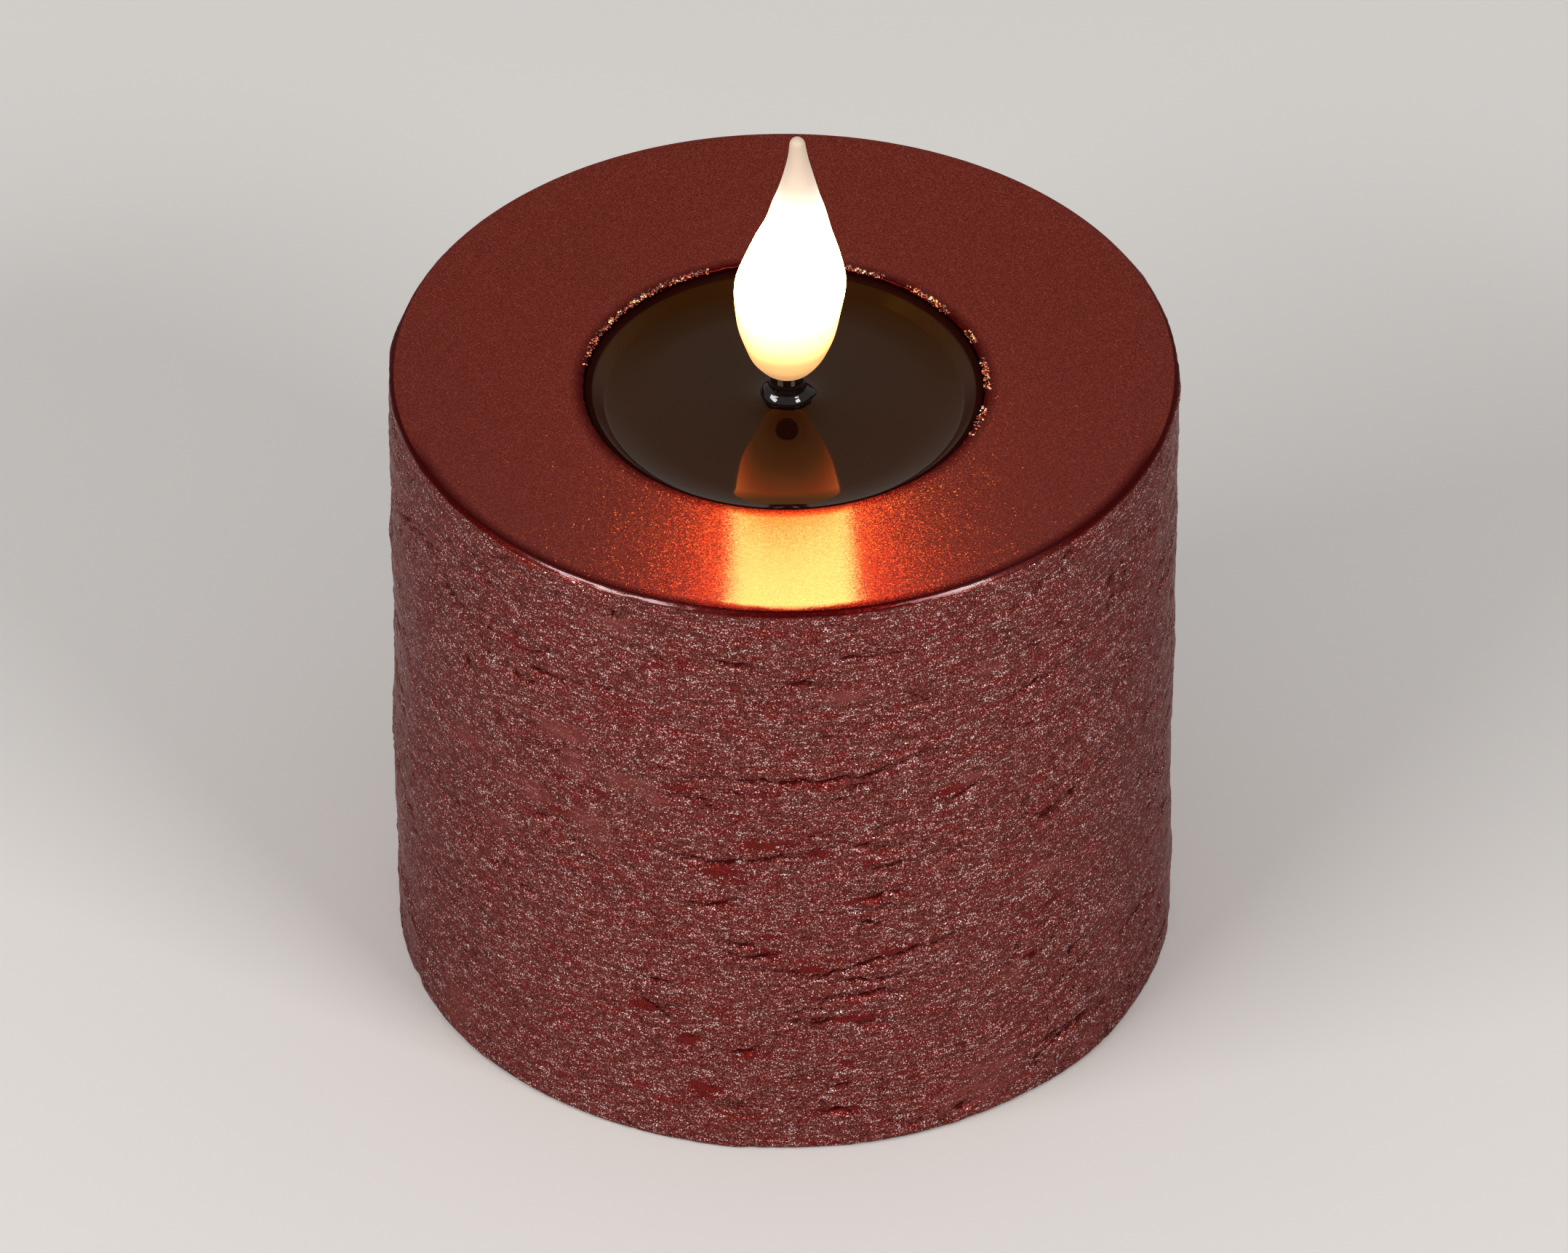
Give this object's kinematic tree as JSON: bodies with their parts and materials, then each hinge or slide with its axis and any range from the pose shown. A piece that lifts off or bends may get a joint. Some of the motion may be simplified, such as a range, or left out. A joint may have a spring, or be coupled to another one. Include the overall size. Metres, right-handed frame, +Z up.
{
  "type": "led candle",
  "caption": "Round battery candle of painted wax with a dished top, a glossy melt pool and a moulded silicone flame; battery door and slide switch underneath.",
  "frame": {"origin": "centre of the base, on the table", "axes": "+Z up along the candle's axis, -Y towards the side that the picture shows, +X to its right; the battery door's hinge runs along X"},
  "size_m": [0.075, 0.075, 0.093],
  "materials": {
    "painted_wax": "satin",
    "melt_pool_gloss": "gloss",
    "wick_black": "gloss",
    "flame_silicone": "satin",
    "led_epoxy": "gloss",
    "tinned_steel": "satin",
    "nickel_steel": "satin",
    "housing_abs": "matte",
    "screw_zinc": "satin",
    "cell_wrap": "satin",
    "board_laminate": "satin",
    "chip_resin": "gloss",
    "crystal_can": "polished",
    "capacitor_sleeve": "satin",
    "resistor_lacquer": "satin",
    "wire_red_pvc": "satin",
    "wire_black_pvc": "satin",
    "switch_steel": "satin",
    "switch_phenolic": "matte",
    "knob_nylon": "satin"
  },
  "bodies": {
    "candle": {"candle_wax": "painted_wax", "melt_pool_dish": "melt_pool_gloss", "wick_stem": "wick_black", "wick_bead": "wick_black", "flame_sleeve": "flame_silicone", "flame_led": "led_epoxy", "led_leads": "tinned_steel", "flame_wire_positive": "wire_red_pvc", "flame_wire_negative": "wire_black_pvc", "drum_cap": "housing_abs", "base_plate": "housing_abs", "housing_screws": "screw_zinc", "battery_cell_front": "cell_wrap", "battery_cell_rear": "cell_wrap", "contact_bridge": "nickel_steel", "contact_negative": "nickel_steel", "contact_positive": "nickel_steel", "negative_spring": "nickel_steel", "bridge_spring": "nickel_steel", "battery_wire_positive": "wire_red_pvc", "battery_wire_negative": "wire_black_pvc", "circuit_board": "board_laminate", "board_screws": "screw_zinc", "controller_chip": "chip_resin", "timer_crystal": "crystal_can", "filter_capacitor": "capacitor_sleeve", "led_resistor": "resistor_lacquer", "switch_frame": "switch_steel", "switch_base": "switch_phenolic", "switch_terminals": "tinned_steel"},
    "door": {"battery_door": "housing_abs", "door_latch": "housing_abs"},
    "knob": {"switch_knob": "knob_nylon"}
  },
  "joints": [
    {"name": "door_hinge", "type": "hinge", "parent": "candle", "child": "door", "pos_m": [0, -0.0144, 0.0017], "axis": [-1, 0, 0], "range_deg": [0, 95], "deforming": ["door_latch"]},
    {"name": "knob_slide", "type": "slide", "parent": "candle", "child": "knob", "axis": [1, 0, 0], "range_m": [0, 0.004]}
  ]
}
